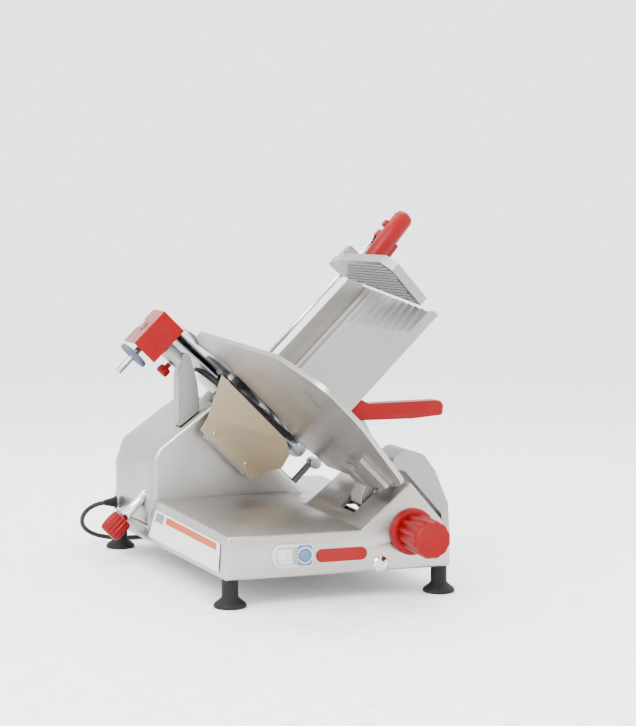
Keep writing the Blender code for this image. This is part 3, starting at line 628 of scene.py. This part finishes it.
def build_switch():
    skin("switch_housing", white_plastic, 1.2, 3)
    skin("start_button", white_plastic, 1.6, 3)
    dot = [(0, 1.0), (0.7, 0.8), (1.0, 0.0), (0, 0.0)]
    for z in (69.0, 78.0):
        piece("start_dot_%d" % z, lathe_mesh(dot, 24), grey_plastic, "start_key",
              matrix=at(MACHINE, (76.5, PANEL - 10.8, z), FACING))
    for k in range(6):
        z = 61.5 + 4.4 * k
        rib = block_mesh((87.2, PANEL - 9.8, z), (94.4, PANEL - 8.0, z + 2.6), 0.5)
        piece("switch_rib_%d" % (k + 1), rib, grey_plastic, "machine", matrix=MACHINE)

    panel = rounded([(95.0, 58.4, 1), (115.6, 58.4, 4.5), (115.6, 88.6, 4.5), (95.0, 88.6, 1)])
    upright = at(MACHINE, (0, PANEL, 0), (-90, 0, 0)) @ Matrix.Scale(-1, 4, (0, 0, 1))
    plate = piece("stop_panel", slab_mesh([(x, -z) for x, z in panel], 7.5, 8.0), blue_plastic, "machine",
                  matrix=upright)
    hole = lathe_mesh([(0, -2), (9.6, -2), (9.6, 14), (0, 14)], 64)
    cut(plate, "Hole", "stop_panel_hole", hole, at(MACHINE, (STOP_X, PANEL, SWITCH_Z), FACING))
    ring = lathe_mesh([(9.7, 0.0), (9.7, 1.0), (10.0, 1.5), (11.6, 1.5), (12.1, 0.9), (12.1, 0.0)], 64)
    piece("stop_ring", ring, white_plastic, "machine",
          matrix=at(MACHINE, (STOP_X, PANEL - 7.6, SWITCH_Z), FACING))
    button = [(0, 11.6), (5.6, 11.4), (7.4, 11.0), (8.3, 10.2), (8.8, 9.0), (8.9, 2.9), (0, 2.9)]
    piece("stop_button_finish", lathe_mesh(button, 64), blue_plastic, "stop_key", ("stop_button",),
          at(MACHINE, (STOP_X, PANEL, SWITCH_Z), FACING))


def build_front():
    build_switch()
    skin("front_badge", red_enamel, 0.5)
    dome = [(0, 5.0), (3.5, 4.8), (6.6, 4.1), (9.2, 3.0), (11.2, 1.6), (12.1, 0.5), (12.1, 0.0), (0, 0.0)]
    where = at(MACHINE, (LEVEL_X, PANEL, LEVEL_Z), FACING)
    screw = piece("level_screw_finish", lathe_mesh(dome, 72), chrome, "machine", ("level_screw",),
                  where)
    cut(screw, "Slot", "level_screw_slot", block_mesh((-14, -1.1, 2.4), (14, 1.1, 8), 0.2),
        where @ Matrix.Rotation(math.radians(40), 4, "Z"))
    mark = [(0, 0.9), (1.3, 0.8), (1.8, 0.2), (1.8, 0.0), (0, 0.0)]
    piece("index_mark", lathe_mesh(mark, 24), brass, "machine",
          matrix=at(MACHINE, (INDEX_X, FRONT, INDEX_Z + 41.5), FACING))

    skin("side_plate", label_white, 0.2)
    for name, along, up, mat in (("label_band", (0.04, 0.80), (0.70, 0.94), label_orange),
                                 ("label_corner", (0.84, 0.97), (0.62, 0.94), grey_plastic)):
        piece(name, plate_patch("side_plate", along, up, 0.25), mat, "machine")


# ---------------------------------------------------------------- column, knife and guards

def build_column():
    skin("motor_housing", cast_x)
    skin("rear_cover", steel, 0.6)
    for k, (x, z) in enumerate(((-30, 78), (-30, 142), (68, 240), (214, 110), (214, 74)), 1):
        screw = lathe_mesh([(0, 2.4), (2.6, 2.2), (4.2, 1.2), (4.6, 0.0), (0, 0.0)], 36)
        piece("cover_screw_%d" % k, screw, steel, "machine",
              matrix=at(MACHINE, (x, COVER_Y, z), (-90, 0, 0)))
    for k in range(7):
        left = 20 + 14 * k
        vent = block_mesh((left, COVER_Y - 0.4, 92), (left + 6, COVER_Y + 1.4, 140), 0.8)
        piece("vent_%d" % (k + 1), vent, dark_steel, "machine", matrix=MACHINE)
    skin("drive_motor", dark_steel)
    skin("motor_pulley", steel)
    skin("drive_belt", rubber)


def build_knife():
    blade = [(0, 289.6), (58, 289.6), (90, 289.4), (118, 289.0), (134, 290.0), (146, 291.0), (149.6, 291.2),
             (150.0, 290.9), (138, 286.8), (112, 285.4), (60, 284.4), (24, 284.4), (24, 273), (10.4, 273),
             (10.4, 285.5), (0, 285.5)]
    where = at(SLOPE, (KNIFE_T, KNIFE_Y, 0))
    piece("knife_finish", lathe_mesh(blade, 180), knife_metal, "knife_disc", ("knife",),
          where, 20.0)
    cover = [(0, 293.4), (20, 293.4), (38, 293.1), (50, 292.4), (54, 291.4), (55.8, 290.0), (0, 290.0)]
    piece("knife_cover_finish", lathe_mesh(cover, 120), steel, "knife_disc", ("knife_cover",),
          where)
    skin("knife_pulley", steel)
    skin("spindle", dark_steel)
    skin("knife_guard", guard_metal)
    skin("guard_arm", small_cast)


def build_deflector():
    skin("deflector", beige, 0.7, 2)
    skin("deflector_bracket", small_cast, 1.2)
    head = [(0, 0.9), (1.6, 0.9), (2.0, 1.5), (4.4, 1.5), (5.2, 0.9), (5.4, 0.0), (0, 0.0)]
    for number, t in enumerate((-96.0, -22.0), 1):
        name = "deflector_screw_%d" % number
        piece(name + "_finish", lathe_mesh(head, 48), beige, "machine", (name,),
              at(SLOPE, (t, 323.0, 202), FACING))
    # A black strip along the deflector's top edge: painted shade standing for the knife's shaded underside
    # seen just over the deflector.
    painted_shade_strip = block_mesh((-160, 298.6, 274.4), (-12, 301.2, 277.0), 0.8)
    piece("deflector_painted_shade_strip", painted_shade_strip, rubber, "machine", matrix=SLOPE)


# ---------------------------------------------------------------- gauge plate and index knob

def build_gauge():
    skin("gauge_plate", plate_metal, 2.2, 3)
    skin("gauge_bracket", small_cast, 1.0)
    skin("gauge_guide_rod", steel)
    dial = [(5.6, 0.0), (5.6, 11.0), (29.5, 11.0), (32.4, 10.4), (34.2, 8.6), (34.8, 6.4),
            (34.8, 1.2), (34.0, 0.0)]
    where = at(MACHINE, (INDEX_X, PANEL, INDEX_Z), FACING)
    piece("index_dial_finish", lathe_mesh(dial, 120), red_plastic, "index", ("index_dial",),
          where)
    rings = [(25.0, 11.3, 2.6), (26.6, 12.2, 3.6), (27.2, 14.5, 4.0), (27.8, 34, 3.8), (28.3, 56, 3.2),
             (28.6, 70, 2.4), (28.4, 76, 1.8), (27.6, 80, 1.2), (26.0, 82.6, 0.7),
             (24.2, 83.6, 0.3), (23.2, 83.2, 0.1)]
    piece("index_knob_finish", fluted_mesh(rings, 12), red_plastic, "index", ("index_knob",),
          where)
    skin("index_shaft", dark_steel)


# ---------------------------------------------------------------- carriage and pusher

def build_carriage():
    skin("carriage_rod", chrome)
    skin("slide_block", steel)
    skin("carriage_arm", small_cast, 2.6, 3)
    skin("product_chute", chute_metal, 1.1, 3)
    skin("carriage_handle", red_plastic)
    skin("pusher_rod", chrome)
    skin("rod_bracket", small_cast)
    skin("rod_end_cap", red_plastic)
    skin("slider_bushing", steel)


def inside(outline, x, y):
    """Whether a point lies within an outline, counted by the edges to its right."""
    crossings = 0
    for (x0, y0), (x1, y1) in zip(outline, outline[1:] + outline[:1]):
        if (y0 - y) * (y1 - y) < 0 and x0 + (x1 - x0) * (y - y0) / (y1 - y0) > x:
            crossings += 1
    return crossings % 2 == 1


def teeth_mesh(outline, pitch, depth):
    """Rows of small pointed teeth that fill an outline and point down the local Z axis."""
    bm = bmesh.new()
    half = pitch * 0.40
    xs, ys = [x for x, _ in outline], [y for _, y in outline]
    for i in range(int((max(xs) - min(xs)) / pitch)):
        for j in range(int((max(ys) - min(ys)) / pitch)):
            x, y = min(xs) + (i + 0.5) * pitch, min(ys) + (j + 0.5) * pitch
            if not inside(outline, x, y):
                continue
            foot = [bm.verts.new(Vector((x + dx, y + dy, 0.15)) * MM)
                    for dx, dy in ((-half, -half), (half, -half), (half, half), (-half, half))]
            tip = bm.verts.new(Vector((x, y, -depth)) * MM)
            bm.faces.new(foot)
            for k in range(4):
                bm.faces.new((foot[k], foot[(k + 1) % 4], tip))
    return closed(bm)


def build_pusher():
    skin("pusher_plate", small_cast, 0.8)
    field = [(-187, 118), (-189, -22), (-176, -38), (-110, -24), (-152, 184)]
    where = at(SLOPE, (0, 0, PUSHER_LOW))
    piece("pusher_teeth", teeth_mesh(field, 6.0, 2.6), small_cast, "pusher", matrix=where)
    # A dark steel sheet under and between the teeth: painted shade in the gaps between them, where the real
    # casting is only in shadow.
    piece("pusher_teeth_painted_shade_floor", slab_mesh(field, -0.25, 0.1), dark_steel, "pusher",
          matrix=where)
    skin("pusher_grip", red_plastic)


# ---------------------------------------------------------------- sharpener and tie rod

def build_sharpener():
    skin("sharpener_arm", small_cast, 1.6, 3)
    skin("sharpener_post", chrome)
    skin("sharpener_body", small_cast)
    skin("sharpener_nut", chrome, 0.5)
    skin("honing_stone", stone)
    skin("stone_plunger", steel)
    skin("sharpener_cover", red_enamel, 0.6)
    wheel = [(5.9, 210.4), (22.6, 210.4), (24.4, 209.6), (25.0, 208.2), (25.0, 204.4), (24.4, 203.2),
             (23.2, 202.9), (5.9, 202.9)]
    piece("grinding_stone_finish", lathe_mesh(wheel, 80), stone, "grinder", ("grinding_stone",),
          at(SLOPE, (STONE_T, STONE_Y, 0)))
    rings = [(4.0, 238.2, 0), (4.2, 231, 0), (8.5, 230, 1.4), (10.4, 228, 2.2), (11.0, 222, 2.4),
             (10.6, 218.4, 2.0), (9.0, 216.4, 1.0), (6.0, 216.0, 0.3)]
    piece("clamp_knob_finish", fluted_mesh(rings, 6, 1.0, 14), red_plastic, "clamp_knob",
          ("sharpener_clamp_knob",), at(SLOPE, (CLAMP_T, STONE_Y, 0)))


def build_tie_rod():
    skin("tie_rod", chrome)
    rings = [(9.0, 7.0, 0), (14.0, 6.9, 0.4), (16.6, 5.8, 1.2), (18.4, 2.6, 1.7), (19.2, -6, 2.0),
             (19.2, -16, 2.0), (18.4, -23, 1.7), (16.8, -27, 1.2), (14.2, -28.8, 0.5), (12.0, -29.0, 0.1)]
    piece("tie_knob_finish", fluted_mesh(rings, 16, 1.2), red_plastic, "tie_knob_body", ("tie_knob",),
          at(SLOPE, (TIE_T, TIE_Y, 0)))


build_camera()
build_lead()
build_studio()
build_base()
build_front()
build_column()
build_knife()
build_deflector()
build_gauge()
build_carriage()
build_pusher()
build_sharpener()
build_tie_rod()
